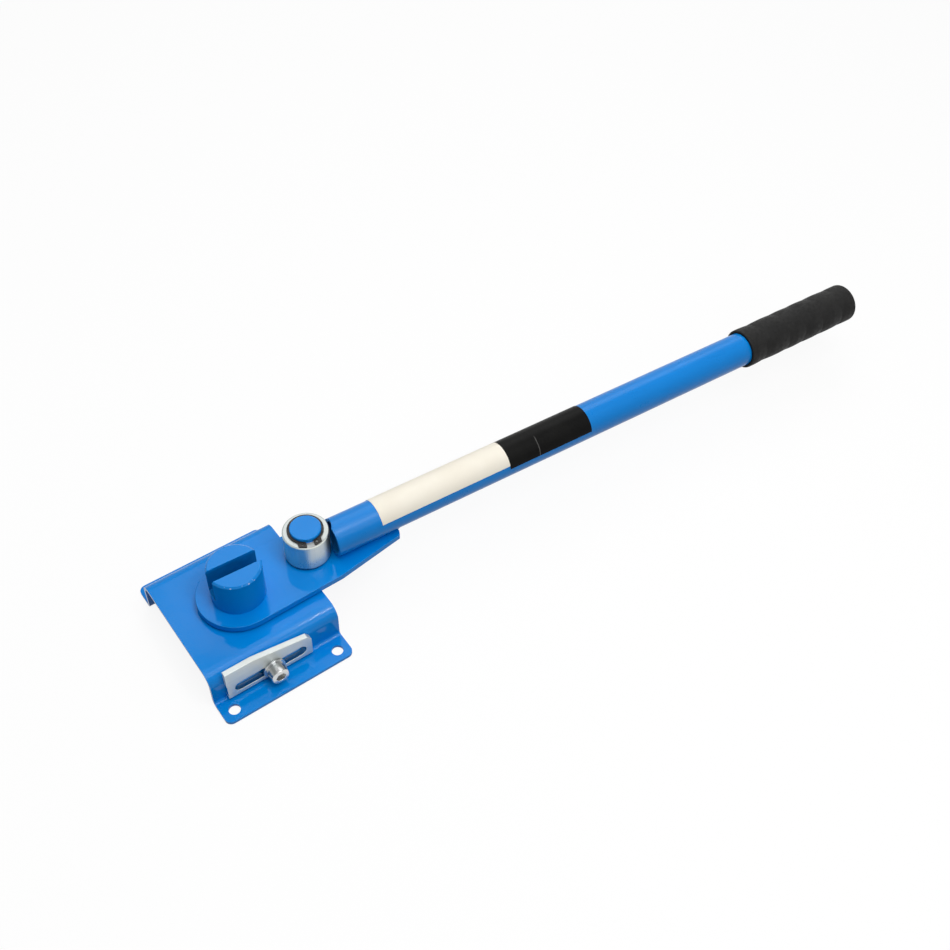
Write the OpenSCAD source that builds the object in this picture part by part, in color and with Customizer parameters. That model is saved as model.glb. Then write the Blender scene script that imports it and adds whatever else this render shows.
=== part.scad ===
// Rod bender: a bent sheet base, a slotted bending post and a long swinging lever
// that carries a roller. Millimetres, +Z up, origin on the pivot axis at the underside.

/* [Base] */
// Length of the base, along the lever
base_len = 120; // [100:1:160]
// Width over both flanges
base_w = 165; // [150:1:200]
// Height of the top face above the bench
base_h = 36; // [33:1:60]
// Thickness of the sheet
sheet_t = 3; // [2:0.5:4]
// Width of the front flange, from the front wall
front_flange = 24; // [20:0.5:30]
// Width of the back flange, from the back wall
back_flange = 21; // [19:0.5:30]
// Inside radius of the bends along the top
top_bend_r = 9; // [4:0.5:12]
// Inside radius of the bends along the feet
foot_bend_r = 3; // [2:0.5:4]
// Radius of the flange corners
corner_r = 6; // [2:0.5:8]
// Diameter of the bench screw holes
hole_d = 10; // [6:0.5:12]
// Distance of the holes from the long edges
hole_edge = 10; // [8:0.5:12.5]
// Distance of the holes from the ends
hole_end = 11; // [8:0.5:25]

/* [Bending post] */
// Diameter of the post
post_d = 46; // [40:1:60]
// Height of the post above the lever plate
post_h = 36.2; // [30:0.2:50]
// Chamfer round the top of the post
post_chamfer = 1.5; // [0.5:0.25:3]
// Width of the rod slot
slot_w = 12; // [6:0.5:16]
// Depth of the rod slot
slot_depth = 25; // [15:0.5:28]
// Direction of the rod slot, from the length of the base
slot_angle = -3; // [-15:0.5:15]
// Diameter of the journal that the lever turns on
journal_d = 30; // [26:0.5:36]
// Diameter of the post's thread
post_thread_d = 20; // [16:1:22]
// Diameter of the post's neck, in the base
neck_d = 24; // [22.5:0.5:28]
// Distance across the two flats of that neck
neck_flats = 22; // [20:0.5:23]
// Thickness of the washer that carries the lever
thrust_t = 2; // [1:0.25:4]
// Outside diameter of that washer
thrust_d = 60; // [45:1:70]
// Thickness of the washer under the base
post_washer_t = 3; // [2:0.5:4]
// Outside diameter of that washer
post_washer_d = 37; // [34:1:44]
// Thickness of the spring washer
lock_washer_t = 2; // [1:0.25:3]
// Radial width of the spring washer
lock_washer_w = 5; // [3:0.5:6]
// Gap cut through the spring washer
lock_washer_gap = 2; // [1:0.5:4]
// Distance across the flats of the post's nut
post_nut_af = 30; // [27:1:34]
// Thickness of the post's nut
post_nut_t = 13; // [8:0.5:14]
// Length of thread that stands out of the nut
thread_end = 2.5; // [1:0.5:4]
// Height of the chamfer on the points of both nuts
nut_chamfer = 1; // [0.4:0.1:1.6]

/* [Lever] */
// Direction of the lever, from the length of the base
lever_angle = -3.5; // [-20:0.1:20]
// Distance from the pivot to the end of the grip
lever_len = 698; // [600:1:900]
// Thickness of the lever plate
plate_t = 6; // [4:0.5:10]
// Radius of the round end of the plate
plate_r = 36; // [33:0.5:45]
// Distance from the roller's axis to where the plate starts to narrow
plate_kink = 14; // [5:0.5:18]
// Half-width of the plate there, on the roller's side
kink_far = 34; // [30:0.5:40]
// Half-width of the plate there, on the other side
kink_near = 30; // [24:0.5:36]
// Length of the plate under the tube
plate_lap = 61; // [40:0.5:80]
// Width of the plate's tip
tip_w = 22; // [12:0.5:26]
// Chamfer of the tip's corners, along the plate
tip_chamfer_u = 2; // [1:0.5:6]
// Chamfer of the tip's corners, across the plate
tip_chamfer_v = 4.5; // [1:0.5:6]
// Outside diameter of the tube
tube_d = 33.7; // [28:0.1:38]
// Distance of the tube's axis from the lever's centre line
tube_v = -2; // [-4:0.25:4]
// Wall of the tube
tube_wall = 2.6; // [1.5:0.1:4]
// Gap at the root of the welds, between tube and plate
weld_gap = 1.2; // [0.8:0.1:1.6]
// Height of the welds on the tube
weld_h = 2.5; // [1.75:0.25:4]
// Width of the welds on the plate
weld_leg = 3.25; // [2.5:0.25:6]
// Distance of the welds from the ends of the lap
weld_end = 1; // [1:0.5:8]

/* [Roller] */
// Distance from the pivot to the roller's axis, along the lever
roller_u = 68.5; // [64:0.5:90]
// Distance of the roller's axis from the lever's centre line
roller_v = 6.75; // [0:0.25:10]
// Diameter of the roller
roller_d = 40; // [34:0.5:46]
// Height of the roller
roller_h = 29; // [20:0.5:36]
// Chamfer of the roller's edges
roller_chamfer = 0.8; // [0.3:0.1:1.5]
// Distance from the roller's axis to the tube's end, along the lever
tube_start = 18.5; // [17:0.5:30]
// Gap round the roller, where the tube's end is cut away for it
tube_gap = 2; // [0.75:0.25:3]
// Diameter of the roller's pin
pin_d = 27; // [22:0.5:29]
// Diameter of the pin's spigot in the plate
spigot_d = 20; // [14:0.5:21]
// Diameter of the pin's collar, under the roller
collar_d = 31; // [30:0.5:33]
// Height of the collar
collar_t = 1; // [0.5:0.25:2]
// Height of the pin above the roller
pin_over = 4.25; // [3:0.25:8]
// Chamfer round the top of the pin
pin_chamfer = 0.6; // [0.2:0.1:1.2]
// Depth of the countersink for the pin's weld
pin_weld_t = 2; // [1:0.25:3]
// Width of that weld
pin_weld_w = 2.5; // [1:0.25:4]
// Thickness of the circlip
clip_t = 1.2; // [0.8:0.1:1.8]
// Depth of the circlip's groove
groove_depth = 0.8; // [0.4:0.1:1.2]
// Width of the circlip opposite its opening
clip_back_w = 3.8; // [2.4:0.1:4]
// Width of the circlip beside its lugs
clip_end_w = 2; // [1.6:0.1:2.4]
// Width of the circlip's opening
clip_gap = 6.4; // [4:0.2:8]
// Direction of the opening, from the lever
clip_angle = -102; // [-180:1:180]
// Height of the lugs, from the circlip's inside
lug_h = 6.2; // [5:0.1:7]
// Chamfer of the lugs' corners beside the opening
lug_chamfer = 0.9; // [0.2:0.1:1.5]
// Angle from the middle of the opening to the far corner of each lug
lug_corner = 32; // [29:1:38]
// Angle from the middle of the opening to where each lug runs out
lug_foot = 44; // [42:1:60]
// Angle from the middle of the opening to each eye
eye_angle = 22; // [21:1:24]
// Diameter of the eyes in the lugs
eye_d = 2.2; // [1.2:0.1:2.5]

/* [Grip and labels] */
// Length of the grip
grip_len = 145; // [120:1:180]
// Thickness of the grip round the tube
grip_wall = 3.1; // [2:0.05:6]
// Depth of the finger waves
wave_depth = 0.5; // [0.2:0.1:1.2]
// Number of finger waves
wave_count = 5; // [3:1:7]
// Length of the collar before the waves
grip_collar = 6; // [4:0.5:20]
// Length of the plain stretch after the waves
grip_tail = 8; // [8:0.5:25]
// Radius of the grip's closed end
grip_end_r = 3.5; // [2:0.5:8]
// Radius of the grip's open edge
grip_lip_r = 1.2; // [0.4:0.1:1.6]
// Thickness of the grip over the tube's end
grip_cap = 4; // [2:0.5:8]
// Thickness of the labels
label_t = 0.3; // [0.2:0.05:0.5]
// Distance from the tube's end to the pale label
label_start = 42.5; // [10:0.5:80]
// Length of the pale label
label_len = 132; // [60:0.5:150]
// Angle that the pale label covers
label_arc = 135; // [90:1:180]
// Length of the dark label
band_len = 91.5; // [40:0.5:110]
// Angle that the dark label covers
band_arc = 158; // [90:1:180]

/* [Stop bar] */
// Length of the bar
bar_len = 79; // [70:0.5:100]
// Thickness of the bar
bar_t = 5; // [3:0.5:8]
// Distance from the pivot to the bar's high end
bar_start = 48.2; // [45:0.1:60]
// Length of the bar's level top
bar_level = 25.5; // [15:0.5:40]
// Height of the bar's low end
bar_low_h = 24.5; // [22:0.5:28]
// Chamfer of the low end, along the bar
bar_chamfer_x = 3.5; // [1:0.5:6]
// Chamfer of the low end, up the bar
bar_chamfer_z = 5; // [1:0.5:6]
// Height that the bar stands above the lever's underside
stop_rise = 2; // [1:0.25:4]
// Height of the slot's centre line in the bar
bar_slot_h = 10; // [9:0.25:12]
// Length of the slot, end to end
bar_slot_len = 66.6; // [40:0.2:68]
// Distance from the bar's high end to the slot
bar_slot_start = 6.6; // [4:0.2:10]
// Distance from the pivot to the clamp screw
screw_x = 6; // [-10:0.5:20]
// Diameter of the clamp screw
screw_d = 10; // [8:1:10]
// Diameter of the screw's head
head_d = 16; // [13:0.5:17]
// Height of the screw's head
head_h = 10; // [8:0.5:12]
// Chamfer round the face of the head
head_chamfer = 0.8; // [0.3:0.1:1.2]
// Distance across the flats of the socket
socket_af = 8; // [5:0.5:9]
// Depth of the socket
socket_depth = 5; // [3:0.5:7]
// Outside diameter of the screw's washer
washer_d = 20; // [17:0.5:22]
// Thickness of the screw's washer
washer_t = 2; // [1:0.25:3]
// Distance across the flats of the screw's nut
nut_af = 16; // [13:0.5:17]
// Thickness of the screw's nut
nut_t = 8; // [6:0.5:10]
// Length of screw that stands out of the nut
screw_end = 2; // [1:0.5:6]

/* [Clearances] */
// Radial clearance of a turning fit
run_clear = 0.05; // [0.02:0.01:0.1]
// End clearance of the lever and the roller
end_clear = 0.15; // [0.1:0.05:0.3]
// Clearance on each face of the sliding bar
slide_clear = 0.15; // [0.1:0.05:0.3]
// Radial clearance of a screw in its hole or slot
hole_clear = 0.5; // [0.3:0.1:0.8]
// Thickness of the glue under the grip and the labels
glue_t = 0.05; // [0.03:0.01:0.1]

/* [Hidden] */
$fn = 64;
eps = 1;
hex_fn = 6;
wave_steps = 12;
lip_steps = 5;
hex_ratio = 1 / cos(30);

// Base section
front_wall = base_w / 2 - front_flange;
back_wall = base_w / 2 - back_flange;
foot_z = sheet_t + foot_bend_r;
screw_z = foot_z + bar_slot_h;
nut_top = screw_z + nut_af / 2;
bend_in = min(top_bend_r, base_h - sheet_t - nut_top);
bend_out = bend_in + sheet_t;
hole_x = base_len / 2 - hole_end;
hole_y = base_w / 2 - hole_edge;

// Heights up the pivot
plate_z = base_h + thrust_t + end_clear;
plate_top = plate_z + plate_t;
post_z = plate_top + end_clear;
post_top = post_z + post_h;
post_under = base_h - sheet_t;
lock_z = post_under - post_washer_t - lock_washer_t;
nut_z = lock_z - post_nut_t;
thread_z = nut_z - thread_end;
journal_r = journal_d / 2;
thread_r = post_thread_d / 2;

// Heights up the roller's pin
roller_z = plate_top + collar_t + end_clear;
roller_top = roller_z + roller_h;
clip_z = roller_top + end_clear;
pin_top = roller_top + pin_over;
pin_r = pin_d / 2;
groove_r = pin_r - groove_depth;
spigot_r = spigot_d / 2;

// Along the lever
tube_r = tube_d / 2;
tube_z = plate_top + tube_r;
tube_u = roller_u + tube_start;
tube_end = lever_len - grip_cap;
kink_u = roller_u + plate_kink;
tip_u = tube_u + plate_lap;
weld_u = max(tube_u, roller_u + roller_d / 2 + tube_gap) + weld_end;
label_u = tube_u + label_start;
band_u = label_u + label_len;
grip_u = lever_len - grip_len;
grip_r = tube_r + grip_wall;
weld_root = sqrt(pow(tube_r, 2) - pow(tube_r - weld_gap, 2));
weld_top = sqrt(pow(tube_r, 2) - pow(tube_r - weld_h, 2));

// Across the stop bar
bar_y = -front_wall - slide_clear;
bar_front = bar_y - bar_t;
washer_y = bar_front - slide_clear;
head_y = washer_y - washer_t;
nut_y = -front_wall + sheet_t;
bar_h = plate_z + stop_rise - foot_z;
slot_r = screw_d / 2 + hole_clear;

enamel = [0.05, 0.42, 0.78];
zinc = [0.76, 0.78, 0.79];
dark = [0.15, 0.15, 0.15];
cream = [0.93, 0.91, 0.86];

// Point where the line from a point outside a circle touches the circle
function tangent(p, r, side) =
    let (a = atan2(p[1], p[0]) + side * acos(r / norm(p))) [r * cos(a), r * sin(a)];

// Places children in the lever's own directions
module on_lever() {
    rotate(lever_angle) children();
}

// Places children on the tube's axis, with their +Z along the tube
module along_tube(u) {
    on_lever() translate([u, tube_v, tube_z]) rotate([0, 90, 0]) children();
}

// Places children on the roller's axis
module at_roller() {
    on_lever() translate([roller_u, roller_v, 0]) children();
}

// Places children on the clamp screw's axis, with their +Z pointing out of the wall
module at_screw(y) {
    translate([-screw_x, y, screw_z]) rotate([90, 0, 0]) children();
}

module tube_ring(outer_r, inner_r, h) {
    linear_extrude(h) difference() {
        circle(outer_r);
        circle(inner_r);
    }
}

// Quarter of a bent sheet, in the quadrant that the signs name
module bend(inner_r, outer_r, sx, sy) {
    intersection() {
        difference() {
            circle(outer_r);
            circle(inner_r);
        }
        scale([sx, sy]) square(outer_r);
    }
}

// Half of the base's section, from its middle to one flange edge
module hat_half(wall_y) {
    translate([0, base_h - sheet_t]) square([wall_y - bend_out, sheet_t]);
    translate([wall_y - bend_out, base_h - bend_out]) bend(bend_in, bend_out, 1, 1);
    translate([wall_y - sheet_t, foot_z]) square([sheet_t, base_h - bend_out - foot_z]);
    translate([wall_y + foot_bend_r, foot_z]) bend(foot_bend_r, foot_z, -1, -1);
    translate([wall_y + foot_bend_r, 0]) square([base_w / 2 - wall_y - foot_bend_r, sheet_t]);
}

module rounded_plan(x, y, r) {
    square([x - 2 * r, y], center = true);
    square([x, y - 2 * r], center = true);
    for (sx = [-1, 1], sy = [-1, 1])
        translate([sx * (x / 2 - r), sy * (y / 2 - r)]) circle(r);
}

// Round neck with two flats, which keeps the post from turning in the base
module neck(h, clear) {
    intersection() {
        cylinder(h = h, d = neck_d + 2 * clear);
        translate([-neck_d, -neck_flats / 2 - clear, 0])
            cube([2 * neck_d, neck_flats + 2 * clear, h]);
    }
}

// Hexagon with its points chamfered at both faces
module hex_nut(af, h, bore_r) {
    point_r = af / 2 * hex_ratio;
    difference() {
        intersection() {
            cylinder(h = h, r = point_r, $fn = hex_fn);
            rotate_extrude() polygon([[0, 0], [af / 2, 0], [point_r, nut_chamfer],
                                      [point_r, h - nut_chamfer], [af / 2, h], [0, h]]);
        }
        translate([0, 0, -eps]) cylinder(h = h + 2 * eps, r = bore_r);
    }
}

module base_plate() {
    color(enamel) difference() {
        intersection() {
            translate([-base_len / 2, 0, 0]) rotate([90, 0, 90]) linear_extrude(base_len) {
                hat_half(back_wall);
                mirror([1, 0]) hat_half(front_wall);
            }
            translate([0, 0, -eps]) linear_extrude(base_h + 2 * eps)
                rounded_plan(base_len, base_w, corner_r);
        }
        for (sx = [-1, 1], sy = [-1, 1])
            translate([sx * hole_x, sy * hole_y, -eps]) cylinder(h = sheet_t + 2 * eps, d = hole_d);
        translate([0, 0, post_under - eps]) neck(sheet_t + 2 * eps, run_clear);
        at_screw(nut_y + eps) cylinder(h = sheet_t + 2 * eps, r = slot_r);
    }
}

module bending_post() {
    color(enamel) difference() {
        union() {
            translate([0, 0, thread_z]) cylinder(h = base_h - thread_z, d = post_thread_d);
            translate([0, 0, post_under]) neck(sheet_t, 0);
            translate([0, 0, base_h]) cylinder(h = post_z - base_h, d = journal_d);
            translate([0, 0, post_z]) cylinder(h = post_h - post_chamfer, d = post_d);
            translate([0, 0, post_top - post_chamfer])
                cylinder(h = post_chamfer, d1 = post_d, d2 = post_d - 2 * post_chamfer);
        }
        rotate(slot_angle) translate([-post_d, -slot_w / 2, post_top - slot_depth])
            cube([2 * post_d, slot_w, slot_depth + eps]);
    }
}

module thrust_washer() {
    color(zinc) translate([0, 0, base_h])
        tube_ring(thrust_d / 2, journal_r + run_clear, thrust_t);
}

module post_washer() {
    color(zinc) translate([0, 0, post_under - post_washer_t])
        tube_ring(post_washer_d / 2, thread_r + run_clear, post_washer_t);
}

module post_lock_washer() {
    color(zinc) translate([0, 0, lock_z]) linear_extrude(lock_washer_t) difference() {
        circle(thread_r + run_clear + lock_washer_w);
        circle(thread_r + run_clear);
        translate([0, -lock_washer_gap / 2]) square([post_washer_d, lock_washer_gap]);
    }
}

module post_nut() {
    color(zinc) translate([0, 0, nut_z]) hex_nut(post_nut_af, post_nut_t, thread_r + run_clear);
}

// Outline of the lever plate: a round end that runs out straight, then narrows to a tip
module plate_outline() {
    far = [kink_u, kink_far];
    near = [kink_u, -kink_near];
    shoulder_u = tip_u - tip_chamfer_u;
    shoulder_v = tip_w / 2 + tip_chamfer_v;
    circle(plate_r);
    polygon([[0, 0], tangent(near, plate_r, -1), near, [shoulder_u, tube_v - shoulder_v],
             [tip_u, tube_v - tip_w / 2], [tip_u, tube_v + tip_w / 2],
             [shoulder_u, tube_v + shoulder_v], far, tangent(far, plate_r, 1)]);
}

module lever_plate() {
    color(enamel) difference() {
        on_lever() translate([0, 0, plate_z]) linear_extrude(plate_t) plate_outline();
        translate([0, 0, plate_z - eps]) cylinder(h = plate_t + 2 * eps, r = journal_r + run_clear);
        at_roller() {
            translate([0, 0, plate_z - eps]) cylinder(h = plate_t + 2 * eps, r = spigot_r + run_clear);
            pin_weld_cone();
        }
    }
}

module lever_tube() {
    color(enamel) difference() {
        along_tube(tube_u) tube_ring(tube_r, tube_r - tube_wall, tube_end - tube_u);
        at_roller() translate([0, 0, plate_top - eps])
            cylinder(h = tube_d + 2 * eps, r = roller_d / 2 + tube_gap);
    }
}

// Bead in the corner between the tube and the plate, on the side that the sign names
module weld_section(side) {
    difference() {
        scale([side, 1]) polygon([[weld_root, 0], [weld_root + weld_leg, 0],
                                  [weld_top, weld_h], [weld_root, weld_h]]);
        translate([0, tube_r]) circle(tube_r);
    }
}

module tube_welds() {
    color(enamel) on_lever() translate([weld_u, tube_v, plate_top]) rotate([90, 0, 90])
        linear_extrude(tip_u - tip_chamfer_u - weld_end - weld_u) {
            weld_section(-1);
            weld_section(1);
        }
}

module pin_weld_cone() {
    translate([0, 0, plate_z])
        cylinder(h = pin_weld_t, r1 = spigot_r + pin_weld_w, r2 = spigot_r);
}

module roller_pin() {
    color(enamel) at_roller() difference() {
        union() {
            translate([0, 0, plate_z]) cylinder(h = plate_t, r = spigot_r);
            translate([0, 0, plate_top]) cylinder(h = collar_t, d = collar_d);
            translate([0, 0, plate_top]) cylinder(h = pin_top - pin_chamfer - plate_top, d = pin_d);
            translate([0, 0, pin_top - pin_chamfer])
                cylinder(h = pin_chamfer, d1 = pin_d, d2 = pin_d - 2 * pin_chamfer);
        }
        translate([0, 0, clip_z - run_clear])
            tube_ring(pin_d, groove_r, clip_t + 2 * run_clear);
    }
}

module pin_weld() {
    color(enamel) at_roller() difference() {
        pin_weld_cone();
        translate([0, 0, plate_z - eps])
            cylinder(h = pin_weld_t + 2 * eps, r = spigot_r + run_clear);
    }
}

module roller() {
    bore_r = pin_r + run_clear;
    outer_r = roller_d / 2;
    c = roller_chamfer;
    color(zinc) at_roller() translate([0, 0, roller_z]) rotate_extrude()
        polygon([[bore_r, 0], [outer_r - c, 0], [outer_r, c], [outer_r, roller_h - c],
                 [outer_r - c, roller_h], [bore_r, roller_h]]);
}

// Open ring that is widest opposite its opening, with an eye in the lug at each end
module circlip() {
    ring_r = groove_r + run_clear;
    outer_r = ring_r + (clip_back_w + clip_end_w) / 2;
    shift = (clip_back_w - clip_end_w) / 2;
    half_gap = clip_gap / 2;
    lug_r = ring_r + lug_h;
    lug_x = sqrt(pow(lug_r, 2) - pow(half_gap, 2));
    foot_r = ring_r + clip_end_w;
    lug = [[lug_x, half_gap + lug_chamfer], lug_r * [cos(lug_corner), sin(lug_corner)],
           foot_r * [cos(lug_foot), sin(lug_foot)]];
    color(dark) at_roller() translate([0, 0, clip_z]) rotate(clip_angle) linear_extrude(clip_t)
        difference() {
            union() {
                translate([-shift, 0]) circle(outer_r);
                polygon(concat([[lug_x - half_gap - lug_chamfer, 0]], lug, [[0, 0]],
                               [for (i = [len(lug) - 1:-1:0]) [lug[i][0], -lug[i][1]]]));
            }
            circle(ring_r);
            translate([0, -half_gap]) square([lug_r, clip_gap]);
            for (side = [-1, 1])
                rotate(side * eye_angle) translate([ring_r + lug_h / 2, 0]) circle(d = eye_d);
        }
}

// Radius of the grip along its finger waves, at a share of their length
function wave_r(s) = grip_r - wave_depth * (1 - cos(360 * wave_count * s)) / 2;

module grip() {
    wave_len = grip_len - grip_collar - grip_tail;
    wave_n = wave_steps * wave_count;
    color(dark) along_tube(grip_u) rotate_extrude() difference() {
        polygon(concat(
            [[0, 0]],
            [for (i = [0:lip_steps]) let (a = 90 * i / lip_steps)
                [grip_r - grip_lip_r * (1 - sin(a)), grip_lip_r * (1 - cos(a))]],
            [for (i = [0:wave_n]) [wave_r(i / wave_n), grip_collar + wave_len * i / wave_n]],
            [for (i = [0:lip_steps]) let (a = 90 * i / lip_steps)
                [grip_r - grip_end_r * (1 - cos(a)), grip_len - grip_end_r * (1 - sin(a))]],
            [[0, grip_len]]));
        translate([0, -eps]) square([tube_r + glue_t, grip_len - grip_cap + eps]);
    }
}

// Thin patch round the top of the tube
module wrap(u, h, arc) {
    along_tube(u) rotate(180 - arc / 2) rotate_extrude(angle = arc)
        translate([tube_r + glue_t, 0]) square([label_t, h]);
}

module tube_label() {
    color(cream) wrap(label_u, label_len, label_arc);
}

module tube_band() {
    color(dark) wrap(band_u, band_len, band_arc);
}

// Face of the stop bar: level at its high end, then sloping to the low end
module bar_face() {
    slot_a = bar_slot_start + slot_r;
    slot_b = bar_slot_start + bar_slot_len - slot_r;
    difference() {
        polygon([[0, 0], [bar_len, 0], [bar_len, bar_low_h - bar_chamfer_z],
                 [bar_len - bar_chamfer_x, bar_low_h], [bar_level, bar_h], [0, bar_h]]);
        translate([slot_a, bar_slot_h - slot_r]) square([slot_b - slot_a, 2 * slot_r]);
        for (x = [slot_a, slot_b])
            translate([x, bar_slot_h]) circle(slot_r);
    }
}

module stop_bar() {
    color(zinc) translate([-bar_start, bar_y, foot_z]) rotate([90, 0, 0])
        linear_extrude(bar_t) bar_face();
}

module stop_screw() {
    shank = nut_y + nut_t + screw_end - head_y;
    color(zinc) at_screw(head_y) difference() {
        union() {
            translate([0, 0, -shank]) cylinder(h = shank, d = screw_d);
            cylinder(h = head_h - head_chamfer, d = head_d);
            translate([0, 0, head_h - head_chamfer])
                cylinder(h = head_chamfer, d1 = head_d, d2 = head_d - 2 * head_chamfer);
        }
        translate([0, 0, head_h - socket_depth])
            cylinder(h = socket_depth + eps, d = socket_af * hex_ratio, $fn = hex_fn);
    }
}

module stop_washer() {
    color(zinc) at_screw(washer_y)
        tube_ring(washer_d / 2, screw_d / 2 + hole_clear, washer_t);
}

module stop_nut() {
    color(zinc) at_screw(nut_y + nut_t) hex_nut(nut_af, nut_t, screw_d / 2 + run_clear);
}

base_plate();
bending_post();
thrust_washer();
post_washer();
post_lock_washer();
post_nut();
lever_plate();
lever_tube();
tube_welds();
roller_pin();
pin_weld();
roller();
circlip();
grip();
tube_label();
tube_band();
stop_bar();
stop_screw();
stop_washer();
stop_nut();
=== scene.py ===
import math

import bmesh
import bpy
import numpy as np
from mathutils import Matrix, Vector, noise


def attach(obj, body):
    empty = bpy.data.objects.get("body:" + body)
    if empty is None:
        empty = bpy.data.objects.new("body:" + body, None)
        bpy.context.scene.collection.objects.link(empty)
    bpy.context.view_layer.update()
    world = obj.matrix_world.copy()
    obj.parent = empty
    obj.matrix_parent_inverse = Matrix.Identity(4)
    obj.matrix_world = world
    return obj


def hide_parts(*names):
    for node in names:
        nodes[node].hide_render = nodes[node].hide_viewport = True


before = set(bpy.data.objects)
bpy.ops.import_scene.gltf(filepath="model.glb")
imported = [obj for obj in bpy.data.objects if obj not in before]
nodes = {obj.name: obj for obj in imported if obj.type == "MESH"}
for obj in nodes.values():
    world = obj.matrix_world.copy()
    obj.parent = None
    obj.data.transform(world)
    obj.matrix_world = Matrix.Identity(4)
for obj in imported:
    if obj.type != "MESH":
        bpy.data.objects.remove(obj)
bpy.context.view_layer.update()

MM = 0.001

# Along the lever in millimetres: u from the pivot, v across, z up, as in the solids
LEVER_ANGLE = math.radians(-3.5)
PLATE_TOP = 44.15
PLATE_TIP = 148.0
TUBE_R = 16.85
TUBE_V = -2.0
TUBE_Z = PLATE_TOP + TUBE_R
ROLLER_U, ROLLER_V = 68.5, 6.75
# Paint ends at this radius inside the tube, and its bore goes dark between these places
BARE_R = TUBE_R - 2.2
BORE_SHADE = (93.0, 105.0)
# Fold across the dark label
CREASE_U = 295.0

# The grip, in millimetres along the lever
GRIP_START, GRIP_END = 553.0, 698.0
GRIP_R = TUBE_R + 3.1
GRIP_BORE = TUBE_R + 0.05
GRIP_CAP = 4.0
GRIP_LIP_R, GRIP_END_R = 1.2, 3.5
GRIP_FACETS = 96
# Finger waves: places along the lever and depths, crests and valleys in turn
GRIP_WAVES = ((553.0, 0.1), (557.5, 0.0), (572.0, 0.75), (590.5, 0.02), (603.0, 0.5),
              (613.5, 0.05), (625.5, 0.5), (638.0, 0.05), (649.5, 0.5), (661.5, 0.05),
              (677.0, 0.6), (690.0, 0.25), (698.0, 0.3))
# Waves of this depth or more are shaded as valleys, as far as this from their middle
DEEP_WAVE = 0.5
VALLEY_REACH = 11.0
# Hollow of the end face: radii and depths, and the depth in its middle
GRIP_DISH = ((12.0, 0.0), (9.0, 0.05), (6.0, 0.25), (3.0, 0.4))
GRIP_DISH_DEPTH = 0.45

# The two weld beads: side of the tube, start and end along the lever in millimetres
BEADS = ((-1, 88.0, PLATE_TIP + 2.2), (1, 91.5, PLATE_TIP + 1.0))
BEAD_ROWS = 180
BEAD_STEPS = 8
# A bead's section, in millimetres out from the tube's axis and up from the plate
BEAD_FOOT, BEAD_HEAD = 9.7, 8.75
BEAD_HEIGHT = 2.75
BEAD_SWELL_OUT, BEAD_SWELL_UP = 0.75, 0.3
BEAD_BACK = ((7.4, 1.9), (6.6, 0.9), (6.4, -0.1), (8.0, -0.1))
BEAD_CORE = (8.2, 1.1)
# Length over which a bead runs out at its ends, and the share of its size that is left there
BEAD_RUN_OUT = 3.0
BEAD_END_SIZE = 0.25
# Ripples and slow wander of a bead, and how these differ from one side to the other
RIPPLE_HEIGHT, RIPPLE_PITCH, RIPPLE_LAG = 0.16, 1.9, 1.1
RIPPLE_SHIFT = 0.3
WANDER_OUT, WANDER_UP, WANDER_RATE = 0.35, 0.2, 0.11
WANDER_SHIFT = 3.7

# The base in metres: pivot, bending post and clamp
PIVOT_AXIS = (0.0, 0.0, 0.0)
SLOT_ANGLE = math.radians(-3.0)
SLOT_HALF = 6.0 * MM
SLOT_FLOOR = 55.5 * MM
POST_R = 23.0 * MM
POST_TOP = 80.5 * MM
SCREW_AXIS = (-6.0 * MM, 0.0, 16.0 * MM)
BAR_SLOT_HEIGHTS = (9.5 * MM, 22.5 * MM)

# The roller: heights in metres where the painted shadow at its foot fades out and where its strip of
# rubbed metal and painted highlight fades in, and the heading and half width of that strip in radians
ROLLER_FOOT = (46.6 * MM, 48.2 * MM)
STRIP_HEIGHTS = (47.0 * MM, 62.0 * MM)
STRIP_HEADING = math.radians(-90.0)
STRIP_HALF_WIDTH = 0.63

# Small rounds on the sharp edges of CAD nodes, in millimetres
EDGE_ROUNDS = {
    "base_plate": 0.5, "bending_post": 0.4, "lever_plate": 0.6, "lever_tube": 0.4,
    "roller_pin": 0.2, "roller": 0.3, "circlip": 0.2, "stop_bar": 0.4, "stop_screw": 0.25,
    "stop_washer": 0.25, "post_nut": 0.3, "stop_nut": 0.3, "post_washer": 0.3,
    "thrust_washer": 0.3, "post_lock_washer": 0.3,
}

# Camera: place in metres, turn in degrees, lens and sensor in millimetres
CAMERA_PLACE = (-0.19621, -0.55371, 0.8302)
CAMERA_TURN = (41.6078, -1.9284, -36.4791)
CAMERA_LENS, CAMERA_SENSOR = 43.294, 36.0

# Stage: strength of the fill light, and the floor's size, place, glow and tones
FILL = 0.17
FLOOR_SIZE = 12.0
FLOOR_PLACE = (0.2, 0.0, -0.3 * MM)
FLOOR_GLOW = 0.9
FLOOR_BOUNCE, FLOOR_PALE = 0.4, 0.93

# Lights: place, aim, width and depth in metres, power in watts, colour
WHITE = (1.0, 1.0, 1.0)
WARM = (1.0, 0.99, 0.97)
MECHANISM = (0.03, -0.03, 0.05)
LIGHTS = (
    ("front_softbox", (0.27, -0.84, 1.85), (0.1, 0.0, 0.04), (1.2, 1.2), 16.8, WHITE),
    ("top_softbox", (0.15, 0.15, 1.9), (0.15, 0.0, 0.0), (1.4, 1.4), 11.5, WHITE),
    ("back_softbox", (1.3, 1.4, 1.9), (0.3, 0.0, 0.05), (1.9, 1.3), 17.0, WHITE),
    ("side_softbox", (0.59, -1.49, 1.09), MECHANISM, (0.55, 0.55), 2.6, WARM),
    ("key_lamp", (0.45, -0.65, 1.46), MECHANISM, (0.08, 0.08), 1.6, WARM),
)


def rgb(r, g, b):
    return (r, g, b, 1.0)


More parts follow.
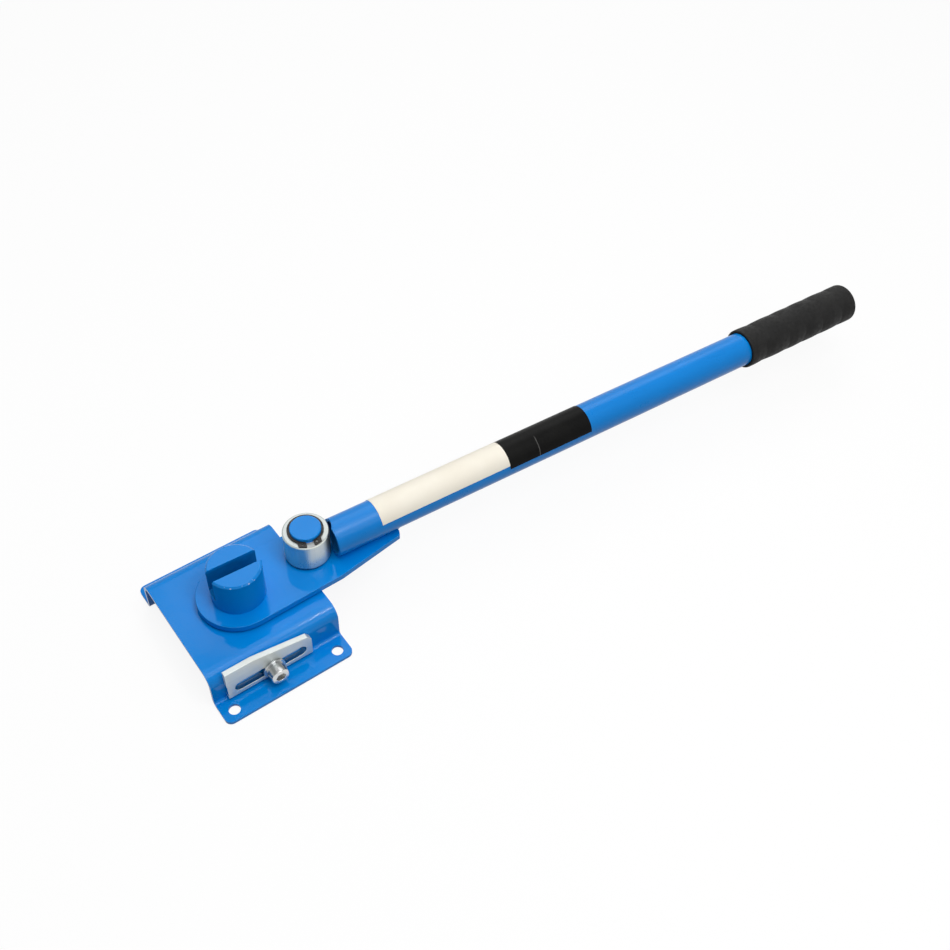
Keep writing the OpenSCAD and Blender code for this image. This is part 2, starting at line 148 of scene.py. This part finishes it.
def lever_point(u, v, z):
    """A point of the lever, given in millimetres, as a point of the scene in metres."""
    c, s = math.cos(LEVER_ANGLE), math.sin(LEVER_ANGLE)
    return Vector((u * c - v * s, u * s + v * c, z)) * MM


ROLLER_AXIS = lever_point(ROLLER_U, ROLLER_V, 0.0)


# Camera, lights and stage

def make_camera():
    data = bpy.data.cameras.new("camera")
    data.sensor_fit = "HORIZONTAL"
    data.sensor_width = CAMERA_SENSOR
    data.lens = CAMERA_LENS
    data.clip_start, data.clip_end = 0.01, 50.0
    cam = bpy.data.objects.new("camera", data)
    cam.location = CAMERA_PLACE
    cam.rotation_euler = [math.radians(angle) for angle in CAMERA_TURN]
    bpy.context.scene.collection.objects.link(cam)
    bpy.context.scene.camera = cam


def make_light(name, place, target, size, watts, colour):
    data = bpy.data.lights.new(name, "AREA")
    data.shape = "RECTANGLE"
    data.size, data.size_y = size
    data.energy = watts
    data.color = colour
    light = bpy.data.objects.new(name, data)
    light.location = place
    light.rotation_mode = "QUATERNION"
    light.rotation_quaternion = (Vector(target) - Vector(place)).to_track_quat("-Z", "Y")
    bpy.context.scene.collection.objects.link(light)


def seen_rays(tree):
    """1 for rays that show the background: from the camera, mirrored or passed on."""
    path = tree.nodes.new("ShaderNodeLightPath")
    total = path.outputs["Is Camera Ray"]
    for name in ("Is Glossy Ray", "Is Transmission Ray"):
        either = tree.nodes.new("ShaderNodeMath")
        either.operation = "MAXIMUM"
        tree.links.new(total, either.inputs[0])
        tree.links.new(path.outputs[name], either.inputs[1])
        total = either.outputs[0]
    return total


def make_world():
    """White where it is seen, and a weak fill light elsewhere."""
    world = bpy.data.worlds.new("studio")
    bpy.context.scene.world = world
    world.use_nodes = True
    tree = world.node_tree
    tree.nodes.clear()
    out = tree.nodes.new("ShaderNodeOutputWorld")
    mix = tree.nodes.new("ShaderNodeMixShader")
    for index, strength in ((1, FILL), (2, 1.0)):
        back = tree.nodes.new("ShaderNodeBackground")
        back.inputs["Color"].default_value = rgb(*WHITE)
        back.inputs["Strength"].default_value = strength
        tree.links.new(back.outputs[0], mix.inputs[index])
    tree.links.new(seen_rays(tree), mix.inputs[0])
    tree.links.new(mix.outputs[0], out.inputs["Surface"])


def floor_white():
    """White paper that keeps a shadow where it is seen, is darker to the light that it throws back,
    and is clear from below."""
    mat = bpy.data.materials.new("floor_white")
    mat.use_nodes = True
    tree = mat.node_tree
    tree.nodes.clear()
    out = tree.nodes.new("ShaderNodeOutputMaterial")
    seen = seen_rays(tree)
    tone = tree.nodes.new("ShaderNodeMapRange")
    tone.inputs["To Min"].default_value = FLOOR_BOUNCE
    tone.inputs["To Max"].default_value = FLOOR_PALE
    tree.links.new(seen, tone.inputs["Value"])
    paper = tree.nodes.new("ShaderNodeBsdfDiffuse")
    tree.links.new(tone.outputs[0], paper.inputs["Color"])
    shine = tree.nodes.new("ShaderNodeEmission")
    shine.inputs["Color"].default_value = rgb(*WHITE)
    share = tree.nodes.new("ShaderNodeMath")
    share.operation = "MULTIPLY"
    share.inputs[1].default_value = FLOOR_GLOW
    tree.links.new(seen, share.inputs[0])
    white = tree.nodes.new("ShaderNodeMixShader")
    tree.links.new(share.outputs[0], white.inputs[0])
    tree.links.new(paper.outputs[0], white.inputs[1])
    tree.links.new(shine.outputs[0], white.inputs[2])
    clear = tree.nodes.new("ShaderNodeBsdfTransparent")
    geometry = tree.nodes.new("ShaderNodeNewGeometry")
    sides = tree.nodes.new("ShaderNodeMixShader")
    tree.links.new(geometry.outputs["Backfacing"], sides.inputs[0])
    tree.links.new(white.outputs[0], sides.inputs[1])
    tree.links.new(clear.outputs[0], sides.inputs[2])
    tree.links.new(sides.outputs[0], out.inputs["Surface"])
    return mat


def make_floor():
    mesh = bpy.data.meshes.new("floor")
    h = FLOOR_SIZE / 2
    mesh.from_pydata([(-h, -h, 0), (h, -h, 0), (h, h, 0), (-h, h, 0)], [], [(0, 1, 2, 3)])
    floor = bpy.data.objects.new("floor", mesh)
    floor.location = FLOOR_PLACE
    bpy.context.scene.collection.objects.link(floor)
    mesh.materials.append(floor_white())


# Materials

class Paint:
    """A node material: a Principled surface and short names for the nodes that feed it."""

    def __init__(self, name, **sockets):
        self.mat = bpy.data.materials.new(name)
        self.mat.use_nodes = True
        self.tree = self.mat.node_tree
        self.tree.nodes.clear()
        self.out = self.node("ShaderNodeOutputMaterial")
        self.bsdf = self.node("ShaderNodeBsdfPrincipled")
        self.tree.links.new(self.bsdf.outputs[0], self.out.inputs["Surface"])
        self.coord = self.node("ShaderNodeTexCoord").outputs["Object"]
        for key, value in sockets.items():
            self.bsdf.inputs[key.replace("_", " ")].default_value = value

    def node(self, kind):
        return self.tree.nodes.new(kind)

    def feed(self, value, socket):
        if isinstance(value, bpy.types.NodeSocket):
            self.tree.links.new(value, socket)
        else:
            socket.default_value = value

    def math(self, operation, *values):
        n = self.node("ShaderNodeMath")
        n.operation = operation
        for value, socket in zip(values, n.inputs):
            self.feed(value, socket)
        return n.outputs[0]

    def plus(self, a, b):
        return self.math("ADD", a, b)

    def minus(self, a, b):
        return self.math("SUBTRACT", a, b)

    def times(self, a, b):
        return self.math("MULTIPLY", a, b)

    def times_plus(self, a, b, c):
        return self.math("MULTIPLY_ADD", a, b, c)

    def absolute(self, a):
        return self.math("ABSOLUTE", a)

    def length(self, a, b):
        return self.math("SQRT", self.plus(self.times(a, a), self.times(b, b)))

    def place(self, move=(0, 0, 0), turn=(0, 0, 0), scale=(1, 1, 1)):
        n = self.node("ShaderNodeMapping")
        n.inputs["Location"].default_value = move
        n.inputs["Rotation"].default_value = turn
        n.inputs["Scale"].default_value = scale
        self.feed(self.coord, n.inputs["Vector"])
        return n.outputs[0]

    def split(self, vector):
        n = self.node("ShaderNodeSeparateXYZ")
        self.feed(vector, n.inputs[0])
        return n.outputs[0], n.outputs[1], n.outputs[2]

    def join(self, x, y, z):
        n = self.node("ShaderNodeCombineXYZ")
        for value, socket in zip((x, y, z), n.inputs):
            self.feed(value, socket)
        return n.outputs[0]

    def along(self, angle):
        """Coordinates along, across and up, for a direction turned about the vertical."""
        return self.split(self.place(turn=(0.0, 0.0, -angle)))

    def about(self, axis):
        """Coordinates from a point of an axis."""
        return self.split(self.place(move=tuple(-c for c in axis)))

    def height(self):
        return self.split(self.coord)[2]

    def facing(self):
        """The three parts of the surface's normal."""
        return self.split(self.node("ShaderNodeNewGeometry").outputs["Normal"])

    def noise(self, scale, detail=2.0, rough=0.5, vector=None):
        n = self.node("ShaderNodeTexNoise")
        n.inputs["Scale"].default_value = scale
        n.inputs["Detail"].default_value = detail
        n.inputs["Roughness"].default_value = rough
        self.feed(vector or self.coord, n.inputs["Vector"])
        return n.outputs["Fac"]

    def cells(self, scale):
        n = self.node("ShaderNodeTexVoronoi")
        n.inputs["Scale"].default_value = scale
        self.feed(self.coord, n.inputs["Vector"])
        return n.outputs["Distance"]

    def span(self, value, low, high, to_low=0.0, to_high=1.0):
        """A smooth step from one value to another as a third goes from low to high."""
        n = self.node("ShaderNodeMapRange")
        n.interpolation_type = "SMOOTHSTEP"
        for v, key in ((value, "Value"), (low, "From Min"), (high, "From Max"),
                       (to_low, "To Min"), (to_high, "To Max")):
            self.feed(v, n.inputs[key])
        return n.outputs[0]

    def blend(self, share, a, b):
        n = self.node("ShaderNodeMix")
        n.data_type = "RGBA"
        self.feed(share, n.inputs[0])
        self.feed(a, n.inputs[6])
        self.feed(b, n.inputs[7])
        return n.outputs[2]

    def bump(self, height, distance, strength=1.0, normal=None):
        n = self.node("ShaderNodeBump")
        n.inputs["Strength"].default_value = strength
        n.inputs["Distance"].default_value = distance
        self.feed(height, n.inputs["Height"])
        if normal is not None:
            self.feed(normal, n.inputs["Normal"])
        return n.outputs[0]

    def edges(self, radius):
        """1 along sharp edges, falling to 0 over the radius."""
        soft = self.node("ShaderNodeBevel")
        soft.samples = 4
        soft.inputs["Radius"].default_value = radius
        flat = self.node("ShaderNodeNewGeometry")
        dot = self.node("ShaderNodeVectorMath")
        dot.operation = "DOT_PRODUCT"
        self.feed(soft.outputs[0], dot.inputs[0])
        self.feed(flat.outputs["Normal"], dot.inputs[1])
        return self.span(dot.outputs["Value"], 0.99, 0.85)

    def finish(self, colour, rough, normal, metal=None):
        for value, key in ((colour, "Base Color"), (rough, "Roughness"), (normal, "Normal"),
                           (metal, "Metallic")):
            if value is not None:
                self.feed(value, self.bsdf.inputs[key])
        return self.mat


def enamel(name, wear_and_shade=None, satin=0.0):
    """Blue stoved enamel. wear_and_shade changes the colour and roughness for bare steel, chips,
    painted shade and painted glints. satin is added to the roughness, with a stronger sheen and a deeper
    colour."""
    p = Paint(name, IOR=1.5, Specular_IOR_Level=0.15 + 0.35 * satin)
    depth = 1.0 - 0.2 * satin
    deep = rgb(0.0, 0.215 * depth, 0.665 * depth)
    light = rgb(0.001, 0.229 * depth, 0.7 * depth)
    rubbed = rgb(0.06, 0.33, 0.78)
    colour = p.blend(p.span(p.noise(14.0, 3.0), 0.35, 0.7), deep, light)
    edge_wear = p.times(p.edges(0.6 * MM), p.span(p.noise(160.0, 4.0), 0.52, 0.7))
    colour = p.blend(p.times(edge_wear, 0.35), colour, rubbed)
    haze = p.span(p.noise(55.0, 4.0), 0.3, 0.75, satin + 0.06, satin + 0.1)
    rough = p.plus(haze, p.times(p.noise(900.0, 2.0), 0.03))
    wave = p.bump(p.noise(70.0, 1.0), 0.3 * MM, 0.12)
    peel = p.bump(p.noise(330.0, 1.5, 0.45), 0.06 * MM, 0.15, wave)
    if wear_and_shade:
        colour, rough = wear_and_shade(p, colour, rough)
    return p.finish(colour, rough, peel)


def bare_bore(p, colour, rough):
    """The inside of the lever's tube, without paint and dark away from its open end."""
    u, v, z = p.along(LEVER_ANGLE)
    radius = p.length(p.minus(v, TUBE_V * MM), p.minus(z, TUBE_Z * MM))
    inside = p.span(radius, (BARE_R + 0.3) * MM, BARE_R * MM)
    bare = p.times(inside, p.span(u, BORE_SHADE[0] * MM, BORE_SHADE[1] * MM, 0.15, 1.0))
    black, brown = rgb(0.008, 0.009, 0.011), rgb(0.03, 0.026, 0.024)
    scale = p.blend(p.span(p.noise(220.0, 4.0), 0.35, 0.7), black, brown)
    return p.blend(bare, colour, scale), p.times_plus(bare, 0.45, rough)


def post_shade_chips_and_glints(p, colour, rough):
    """Painted shade deep in the bending post's slot, and pale chips on its rim that are painted glints as
    well.
    """
    slot_shade_blue, chip_glint_blue = rgb(0.002, 0.02, 0.07), rgb(0.55, 0.72, 0.85)
    along, across, z = p.along(SLOT_ANGLE)
    between = p.span(p.absolute(across), SLOT_HALF + 0.6 * MM, SLOT_HALF + 0.2 * MM)
    within = p.times(between, p.span(z, SLOT_FLOOR - 0.6 * MM, SLOT_FLOOR - 0.2 * MM))
    deep_in = p.times(within, p.span(z, POST_TOP, POST_TOP - 5.0 * MM, 0.25, 1.0))
    # Painted shade: dark blue, stronger deeper in the slot, which also makes the paint rougher there
    slot_shade = p.times(deep_in, p.span(p.noise(120.0, 4.0), 0.25, 0.7, 0.34, 0.48))
    colour = p.blend(slot_shade, colour, slot_shade_blue)
    # Pale chips on the rim that are painted glints as well: pale blue specks where highlights would catch
    rim = p.times(p.span(p.length(along, across), POST_R - 2.4 * MM, POST_R - 1.4 * MM),
                  p.span(z, POST_TOP - 2.2 * MM, POST_TOP - 1.2 * MM))
    chip_glint = p.times(rim, p.span(p.noise(300.0, 2.0), 0.655, 0.71))
    colour = p.blend(p.times(chip_glint, 0.65), colour, chip_glint_blue)
    return colour, p.times_plus(slot_shade, 0.35, rough)


def zinc(name, lines, rough, metal, tone=0.0, green=0.0, shaded_top=0.0, strip=None, foot=None, slot=None):
    """Zinc plate. lines gives the height of the turning or rolling marks from the paint's nodes, rough
    the least and most roughness, tone how much paler the plate is, and green the tint of its film.
    shaded_top is the share of painted shade, a darker grey, on faces that look up, strip a share of pale
    rubbed metal that is a painted highlight as well, foot the heights between which a painted shadow fades
    out, and slot the heights between which the faces across the front are left bright."""
    p = Paint(name, Metallic=metal)
    marked, bright, pale = rgb(0.48, 0.5, 0.51), rgb(0.78, 0.79, 0.79), rgb(0.88, 0.925, 0.86)
    top_shade_grey, foot_shadow_blue = rgb(0.2, 0.205, 0.21), rgb(0.03, 0.12, 0.24)
    cool = rgb(0.6 + tone - green, 0.625 + tone + green, 0.635 + tone)
    warm = rgb(0.66 + tone - green, 0.655 + tone + green, 0.63 + tone)
    cloud = p.noise(45.0, 4.0, 0.55)
    grain = p.noise(1400.0, 3.0)
    marks = lines(p)
    metallic = None
    colour = p.blend(p.span(cloud, 0.3, 0.7), cool, warm)
    colour = p.blend(p.span(marks, 0.35, 0.75, 0.0, 0.22), colour, marked)
    colour = p.blend(p.times(p.edges(0.5 * MM), 0.5), colour, bright)
    # Rubbed metal and painted highlight: a pale, almost unmetallic strip where a bright reflection falls
    if strip:
        share = strip(p)
        colour = p.blend(share, colour, pale)
        metallic = p.times_plus(share, -0.9, metal)
    # Painted shade: faces that look up are blended towards a darker grey
    if shaded_top:
        colour = p.blend(p.span(p.facing()[2], 0.6, 0.9, 0.0, shaded_top), colour, top_shade_grey)
    # Painted shadow: dark blue low on the part, fading out upwards between the foot heights with a cloudy
    # edge
    if foot:
        foot_shadow = p.span(p.plus(p.height(), p.times(cloud, 0.8 * MM)), foot[1], foot[0])
        colour = p.blend(foot_shadow, colour, foot_shadow_blue)
    mottle = p.plus(p.times(cloud, 0.6), p.times(grain, 0.4))
    roughness = p.span(mottle, 0.35, 0.65, rough[0], rough[1])
    if slot:
        z = p.height()
        within = p.times(p.span(z, slot[0], slot[0] + 0.5 * MM), p.span(z, slot[1] + 0.5 * MM, slot[1]))
        sheen = p.times(p.span(p.absolute(p.facing()[1]), 0.6, 0.3), within)
        roughness = p.times(roughness, p.span(sheen, 0.0, 1.0, 1.0, 0.3))
        metallic = p.span(sheen, 0.0, 1.0, metal, 1.0)
    normal = p.bump(marks, 0.04 * MM, 0.5, p.bump(grain, 0.03 * MM, 0.4))
    return p.finish(colour, roughness, normal, metallic)


def turned(axis, pitch, along):
    """Turning marks round an axis: they change with the radius and along the axis, hardly round it."""
    def lines(p):
        x, y, z = p.about(axis)
        a, b, c = (x, y, z) if along == "Z" else (x, z, y)
        round_it = p.times(p.math("ARCTAN2", b, a), 0.6 * MM)
        return p.noise(1.0 / pitch, 4.0, 0.65, p.join(p.length(a, b), round_it, c))
    return lines


def rolled(p):
    """Rolling marks along the bar, with a few short scratches across them."""
    along = p.noise(900.0, 3.0, 0.6, p.place(scale=(0.04, 1.0, 1.0)))
    nicks = p.noise(500.0, 2.0, 0.5, p.place(turn=(0.0, 0.9, 0.0), scale=(0.06, 1.0, 1.0)))
    return p.plus(p.times(along, 0.7), p.times(nicks, 0.3))


def rubbed_and_highlight_strip(p):
    """Rubbed metal and painted highlight on the roller's side: an upright strip with frayed edges, weaker
    below.
    """
    x, y, z = p.about(ROLLER_AXIS)
    c, s = math.cos(STRIP_HEADING), math.sin(STRIP_HEADING)
    sideways = p.times_plus(y, c, p.times(x, -s))
    ahead = p.times_plus(x, c, p.times(y, s))
    fray = p.noise(1.0, 4.0, 0.7, p.place(scale=(900.0, 900.0, 12.0)))
    away = p.plus(p.absolute(p.math("ARCTAN2", sideways, ahead)), p.times(p.minus(fray, 0.5), 0.5))
    rubbed = p.times(p.span(away, STRIP_HALF_WIDTH, 0.45 * STRIP_HALF_WIDTH),
                     p.span(fray, 0.2, 0.5, 0.7, 1.0))
    return p.times(rubbed, p.span(z, STRIP_HEIGHTS[0], STRIP_HEIGHTS[1], 0.3, 1.0))


def phosphate():
    """Black phosphated spring steel, rubbed along its edges."""
    p = Paint("black_spring_steel", Metallic=0.6)
    black, brown, rubbed = rgb(0.012, 0.011, 0.01), rgb(0.034, 0.03, 0.026), rgb(0.13, 0.125, 0.12)
    colour = p.blend(p.span(p.noise(320.0, 4.0, 0.6), 0.3, 0.7), black, brown)
    colour = p.blend(p.times(p.edges(0.4 * MM), 0.4), colour, rubbed)
    rough = p.span(p.noise(900.0, 3.0), 0.3, 0.7, 0.38, 0.58)
    return p.finish(colour, rough, p.bump(p.noise(1500.0, 3.0), 0.04 * MM, 0.5))


def rubber():
    """Matte black rubber with fine pores. A bump deepens the shading of the grip's finger waves."""
    p = Paint("rubber_grip", Specular_IOR_Level=0.17)
    black, grey, dusty = rgb(0.0065, 0.0065, 0.0065), rgb(0.0105, 0.0103, 0.01), rgb(0.05, 0.049, 0.047)
    colour = p.blend(p.span(p.noise(28.0, 3.0), 0.3, 0.7), black, grey)
    colour = p.blend(p.span(p.noise(700.0, 3.0), 0.5, 0.8, 0.0, 0.15), colour, dusty)
    rough = p.span(p.noise(240.0, 3.0), 0.3, 0.7, 0.52, 0.68)
    u = p.along(LEVER_ANGLE)[0]
    from_valley = VALLEY_REACH * MM
    for place, depth in GRIP_WAVES:
        if depth >= DEEP_WAVE:
            from_valley = p.math("MINIMUM", from_valley, p.absolute(p.minus(u, place * MM)))
    pores = p.bump(p.cells(1500.0), 0.1 * MM, 0.35, p.bump(from_valley, 0.09))
    return p.finish(colour, rough, p.bump(p.noise(130.0, 3.0), 0.3 * MM, 0.1, pores))


def film(name, light, dark, rough, crease=None):
    """Label film. crease is the place along the lever, in millimetres, of a fold across its near side."""
    p = Paint(name, Specular_IOR_Level=0.05)
    colour = p.blend(p.span(p.noise(36.0, 3.0), 0.3, 0.72), rgb(*dark), rgb(*light))
    height = p.noise(60.0, 2.0)
    if crease:
        u, v, _ = p.along(LEVER_ANGLE)
        bend = p.plus(u, p.times(p.noise(90.0, 1.0), 1.2 * MM))
        off = p.absolute(p.minus(bend, crease * MM))
        fold = p.times(p.span(off, 0.7 * MM, 0.2 * MM), p.span(v, -4.0 * MM, -9.0 * MM))
        colour = p.blend(p.times(fold, 0.5), colour, rgb(0.16, 0.16, 0.155))
        height = p.plus(height, fold)
    roughness = p.span(p.noise(420.0, 3.0), 0.3, 0.7, rough - 0.05, rough + 0.06)
    return p.finish(colour, roughness, p.bump(height, 0.2 * MM, 0.3))


# Shapes

def round_edges(node, width, segments=3, angle=32.0):
    """Small round on the sharp edges of a CAD node, by modifiers alone."""
    weld = node.modifiers.new("weld", "WELD")
    weld.merge_threshold = 1e-6
    flat = node.modifiers.new("flat", "DECIMATE")
    flat.decimate_type = "DISSOLVE"
    flat.angle_limit = math.radians(0.2)
    bevel = node.modifiers.new("bevel", "BEVEL")
    bevel.width = width
    bevel.segments = segments
    bevel.limit_method = "ANGLE"
    bevel.angle_limit = math.radians(angle)
    bevel.harden_normals = True
    bevel.use_clamp_overlap = True
    normals = node.modifiers.new("normals", "WEIGHTED_NORMAL")
    normals.weight = 50
    normals.keep_sharp = True


def solid(name, verts, faces, material, body, replaced):
    """A closed smooth mesh that rides on a body in place of a CAD node."""
    mesh = bpy.data.meshes.new(name)
    mesh.from_pydata(verts, [], faces)
    shell = bmesh.new()
    shell.from_mesh(mesh)
    bmesh.ops.remove_doubles(shell, verts=shell.verts, dist=1e-7)
    bmesh.ops.recalc_face_normals(shell, faces=shell.faces)
    shell.to_mesh(mesh)
    shell.free()
    mesh.shade_smooth()
    mesh.materials.append(material)
    piece = bpy.data.objects.new(name, mesh)
    bpy.context.scene.collection.objects.link(piece)
    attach(piece, body)
    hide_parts(replaced)


def grip_outside(u):
    """Radius of the grip along the lever: round crests that meet in sharp valleys."""
    places = [place for place, _ in GRIP_WAVES]
    i = int(np.clip(np.searchsorted(places, u) - 1, 0, len(places) - 2))
    (start, crest), (end, valley) = GRIP_WAVES[i], GRIP_WAVES[i + 1]
    off = (u - start) / (end - start)
    if crest > valley:
        crest, valley, off = valley, crest, 1 - off
    return GRIP_R - (crest + (valley - crest) * off ** 2)


def grip_profile():
    """Radius and place along the lever of the grip's section, from its bore round the outside to its end."""
    bore_step, wave_step = 30.0, 1.0
    mouth = ((GRIP_BORE, 8.0), (GRIP_BORE, 1.0), (GRIP_BORE + 0.3, 0.1))
    points = [(GRIP_BORE, GRIP_END - GRIP_CAP - bore_step * k) for k in range(4)]
    points += [(radius, GRIP_START + depth) for radius, depth in mouth]
    for a in np.linspace(0.0, math.pi / 2, 7):
        points.append((grip_outside(GRIP_START) - GRIP_LIP_R * (1 - math.sin(a)),
                       GRIP_START + GRIP_LIP_R * (1 - math.cos(a))))
    for u in np.arange(GRIP_START + GRIP_LIP_R + wave_step, GRIP_END - GRIP_END_R, wave_step):
        points.append((grip_outside(u), u))
    for a in np.linspace(0.0, math.pi / 2, 9):
        points.append((grip_outside(GRIP_END) - GRIP_END_R * (1 - math.cos(a)),
                       GRIP_END - GRIP_END_R * (1 - math.sin(a))))
    return points + [(radius, GRIP_END - depth) for radius, depth in GRIP_DISH]


def make_grip(material):
    bore_end = lever_point(GRIP_END - GRIP_CAP, TUBE_V, TUBE_Z)
    dish_middle = lever_point(GRIP_END - GRIP_DISH_DEPTH, TUBE_V, TUBE_Z)
    profile = grip_profile()
    count = len(profile) + 2
    verts, faces = [], []
    for i in range(GRIP_FACETS):
        a = 2 * math.pi * i / GRIP_FACETS
        spin = [lever_point(u, TUBE_V + r * math.cos(a), TUBE_Z + r * math.sin(a)) for r, u in profile]
        verts += [bore_end] + spin + [dish_middle]
        here, there = i * count, (i + 1) % GRIP_FACETS * count
        for k in range(count - 1):
            faces.append((here + k, here + k + 1, there + k + 1, there + k))
    solid("grip_skin", verts, faces, material, "lever", "grip")


def bead_section(u, side, start, end):
    """Points round one weld bead at a place along the lever: a convex fillet under the tube, in ripples."""
    fade = min(1.0, *(math.sqrt(max(0.0, run / BEAD_RUN_OUT)) for run in (u - start, end - u)))
    wander = noise.noise(Vector((u * WANDER_RATE, side * WANDER_SHIFT, 0.0)))
    foot, top = BEAD_FOOT + WANDER_OUT * wander, BEAD_HEIGHT + WANDER_UP * wander
    ring = []
    for k in range(BEAD_STEPS + 1):
        a = k / BEAD_STEPS
        swell = math.sin(math.pi * a)
        phase = (u - RIPPLE_LAG * swell) / RIPPLE_PITCH + side * RIPPLE_SHIFT
        ripple = RIPPLE_HEIGHT * abs(math.sin(math.pi * phase)) * swell
        ring.append((foot + (BEAD_HEAD - foot) * a + (BEAD_SWELL_OUT * swell + ripple) * fade,
                     top * a + (BEAD_SWELL_UP * swell + ripple) * fade))
    ring += BEAD_BACK
    size = BEAD_END_SIZE + (1.0 - BEAD_END_SIZE) * fade
    out, up = BEAD_CORE
    return [lever_point(u, TUBE_V + side * (out + (d - out) * size), PLATE_TOP + up + (z - up) * size)
            for d, z in ring]


def make_welds(material):
    verts, faces = [], []
    count = BEAD_STEPS + 1 + len(BEAD_BACK)
    for side, start, end in BEADS:
        first = len(verts)
        for row in range(BEAD_ROWS + 1):
            verts += bead_section(start + (end - start) * row / BEAD_ROWS, side, start, end)
        for row in range(BEAD_ROWS):
            for k in range(count):
                a, b = first + row * count + k, first + row * count + (k + 1) % count
                faces.append((a, b, b + count, a + count))
        faces.append(tuple(range(first + count - 1, first - 1, -1)))
        faces.append(tuple(range(len(verts) - count, len(verts))))
    solid("weld_beads", verts, faces, material, "lever", "tube_welds")


def dress(material, *names):
    for name in names:
        mesh = nodes[name].data
        mesh.materials.clear()
        mesh.materials.append(material)


make_camera()
make_world()
make_floor()
for light in LIGHTS:
    make_light(*light)

blue = enamel("blue_enamel")
dress(blue, "base_plate", "lever_plate", "tube_welds", "roller_pin", "pin_weld")
dress(enamel("post_enamel", post_shade_chips_and_glints), "bending_post")
dress(enamel("tube_enamel", bare_bore, satin=0.2), "lever_tube")

dress(zinc("turned_zinc", turned(ROLLER_AXIS, 0.6 * MM, "Z"), rough=(0.27, 0.36), metal=0.94, tone=-0.03,
           green=0.03, shaded_top=0.76, strip=rubbed_and_highlight_strip, foot=ROLLER_FOOT), "roller")
dress(zinc("rolled_zinc", rolled, rough=(0.42, 0.55), metal=0.75, tone=0.03, green=0.015, shaded_top=0.4,
           slot=BAR_SLOT_HEIGHTS), "stop_bar")
dress(zinc("screw_zinc", turned(SCREW_AXIS, 0.5 * MM, "Y"), rough=(0.14, 0.24), metal=0.95, tone=0.02,
           shaded_top=0.75), "stop_screw", "stop_washer", "stop_nut")
dress(zinc("post_zinc", turned(PIVOT_AXIS, 0.8 * MM, "Z"), rough=(0.3, 0.42), metal=0.95),
      "thrust_washer", "post_washer", "post_lock_washer", "post_nut")
dress(phosphate(), "circlip")

black_rubber = rubber()
dress(black_rubber, "grip")
make_grip(black_rubber)
make_welds(blue)
dress(film("pale_label", (0.91, 0.865, 0.76), (0.885, 0.835, 0.725), 0.45), "tube_label")
dress(film("dark_label", (0.0075, 0.0075, 0.0072), (0.005, 0.005, 0.005), 0.36, CREASE_U), "tube_band")

for name, width in EDGE_ROUNDS.items():
    round_edges(nodes[name], width * MM)

bpy.context.scene.view_settings.view_transform = "Standard"
